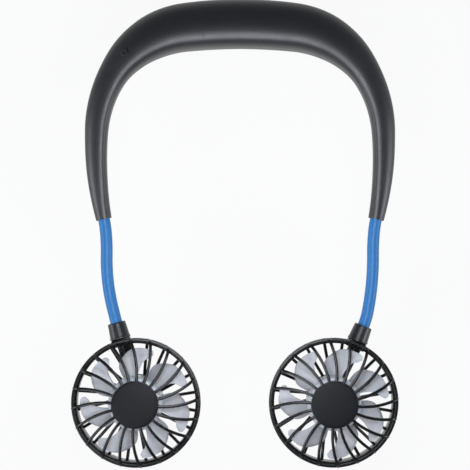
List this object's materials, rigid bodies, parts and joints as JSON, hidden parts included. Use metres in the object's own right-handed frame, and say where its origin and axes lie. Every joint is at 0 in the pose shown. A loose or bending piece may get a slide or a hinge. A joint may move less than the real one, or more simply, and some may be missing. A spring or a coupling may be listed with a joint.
{
  "type": "electric neck fan",
  "caption": "Neck fan: a matte black U-shaped band with two bendable blue hoses, each carrying a caged fan head.",
  "frame": {"origin": "in the middle of the flat that the band's back rests on, under the ridge of the crown", "axes": "+X to the right seen from the front, +Y from the fan heads to the crown, +Z from the back to the front"},
  "size_m": [0.1894, 0.272, 0.03],
  "materials": {
    "band_black": "matte, fine grain",
    "head_black": "moulded, semi-gloss",
    "hose_blue": "smooth, satin",
    "impeller_grey": "smooth, slightly translucent",
    "core_steel": "bare",
    "steel": "plated",
    "nickel": "bright",
    "bronze": "bare",
    "magnet_grey": "sintered",
    "cell_wrap": "shrink wrap",
    "board_green": "solder mask",
    "chip_black": "moulded",
    "light_clear": "clear",
    "lead_black": "insulated"
  },
  "bodies": {
    "band": {"band_front_shell": "band_black", "band_rear_shell": "band_black", "band_screws": "steel", "battery_cell": "cell_wrap", "battery_tabs": "nickel", "control_board": "board_green", "board_chips": "chip_black", "charge_light": "light_clear", "charging_socket": "steel", "tact_switch": "chip_black", "left_band_lead": "lead_black", "right_band_lead": "lead_black", "left_hose_sleeve": "hose_blue", "left_upper_ferrule": "core_steel", "left_arm_lead": "lead_black", "right_hose_sleeve": "hose_blue", "right_upper_ferrule": "core_steel", "right_arm_lead": "lead_black"},
    "button": {"power_button": "band_black", "switch_plunger": "chip_black"},
    "left_link_1": {"left_gooseneck_core_1": "core_steel"},
    "left_link_2": {"left_gooseneck_core_2": "core_steel"},
    "left_link_3": {"left_gooseneck_core_3": "core_steel"},
    "left_head": {"left_lower_ferrule": "core_steel", "left_collar": "head_black", "left_front_grille": "head_black", "left_hub_cap": "band_black", "left_rear_grille": "head_black", "left_motor_can": "steel", "left_motor_end_cap": "chip_black", "left_motor_bushes": "bronze", "left_motor_magnets": "magnet_grey", "left_motor_brushes": "bronze", "left_motor_screws": "steel", "left_head_lead": "lead_black"},
    "left_rotor": {"left_impeller": "impeller_grey", "left_motor_shaft": "steel", "left_armature": "core_steel", "left_commutator": "bronze"},
    "right_link_1": {"right_gooseneck_core_1": "core_steel"},
    "right_link_2": {"right_gooseneck_core_2": "core_steel"},
    "right_link_3": {"right_gooseneck_core_3": "core_steel"},
    "right_head": {"right_lower_ferrule": "core_steel", "right_collar": "head_black", "right_front_grille": "head_black", "right_hub_cap": "band_black", "right_rear_grille": "head_black", "right_motor_can": "steel", "right_motor_end_cap": "chip_black", "right_motor_bushes": "bronze", "right_motor_magnets": "magnet_grey", "right_motor_brushes": "bronze", "right_motor_screws": "steel", "right_head_lead": "lead_black"},
    "right_rotor": {"right_impeller": "impeller_grey", "right_motor_shaft": "steel", "right_armature": "core_steel", "right_commutator": "bronze"}
  },
  "joints": [
    {"name": "power_button_press", "type": "slide", "parent": "band", "child": "button", "axis": [0, 0, -1], "range_m": [0, 0.0005], "stiffness_N_per_m": 600, "springref_m": -0.0002},
    {"name": "left_arm_lift", "type": "hinge", "parent": "band", "child": "left_link_1", "pos_m": [-0.07813, -0.11589, 0.012], "axis": [-0.9966, -0.0829, 0], "range_deg": [-25, 25], "deforming": ["left_hose_sleeve", "left_arm_lead"]},
    {"name": "left_arm_swing", "type": "hinge", "parent": "left_link_1", "child": "left_link_2", "pos_m": [-0.07772, -0.13081, 0.012], "axis": [-0.0087, 0, 1], "range_deg": [-20, 6]},
    {"name": "left_head_lift", "type": "hinge", "parent": "left_link_2", "child": "left_link_3", "pos_m": [-0.0768, -0.1457, 0.012], "axis": [-0.9922, -0.1246, 0], "range_deg": [-25, 25]},
    {"name": "left_head_swing", "type": "hinge", "parent": "left_link_3", "child": "left_head", "pos_m": [-0.07401, -0.16036, 0.012], "axis": [-0.0085, -0.0021, 1], "range_deg": [-20, 6]},
    {"name": "left_fan_spin", "type": "hinge", "parent": "left_head", "child": "left_rotor", "pos_m": [-0.06021, -0.21422, 0.015], "axis": [0, 0, 1], "continuous": true},
    {"name": "right_arm_lift", "type": "hinge", "parent": "band", "child": "right_link_1", "pos_m": [0.07809, -0.11588, 0.012], "axis": [-0.9958, 0.0917, 0], "range_deg": [-25, 25], "deforming": ["right_hose_sleeve", "right_arm_lead"]},
    {"name": "right_arm_swing", "type": "hinge", "parent": "right_link_1", "child": "right_link_2", "pos_m": [0.07754, -0.13143, 0.012], "axis": [-0.0087, 0.0001, -1], "range_deg": [-20, 6]},
    {"name": "right_head_lift", "type": "hinge", "parent": "right_link_2", "child": "right_link_3", "pos_m": [0.07667, -0.14697, 0.012], "axis": [-0.9948, 0.1022, 0], "range_deg": [-25, 25]},
    {"name": "right_head_swing", "type": "hinge", "parent": "right_link_3", "child": "right_head", "pos_m": [0.07435, -0.16235, 0.012], "axis": [-0.0085, 0.0018, -1], "range_deg": [-20, 6]},
    {"name": "right_fan_spin", "type": "hinge", "parent": "right_head", "child": "right_rotor", "pos_m": [0.05417, -0.21413, 0.015], "axis": [0, 0, 1], "continuous": true}
  ],
  "couplings": [
    {"joint": "left_head_lift", "follows": "left_arm_lift", "ratio": 1},
    {"joint": "left_head_swing", "follows": "left_arm_swing", "ratio": 1},
    {"joint": "right_head_lift", "follows": "right_arm_lift", "ratio": 1},
    {"joint": "right_head_swing", "follows": "right_arm_swing", "ratio": 1}
  ]
}
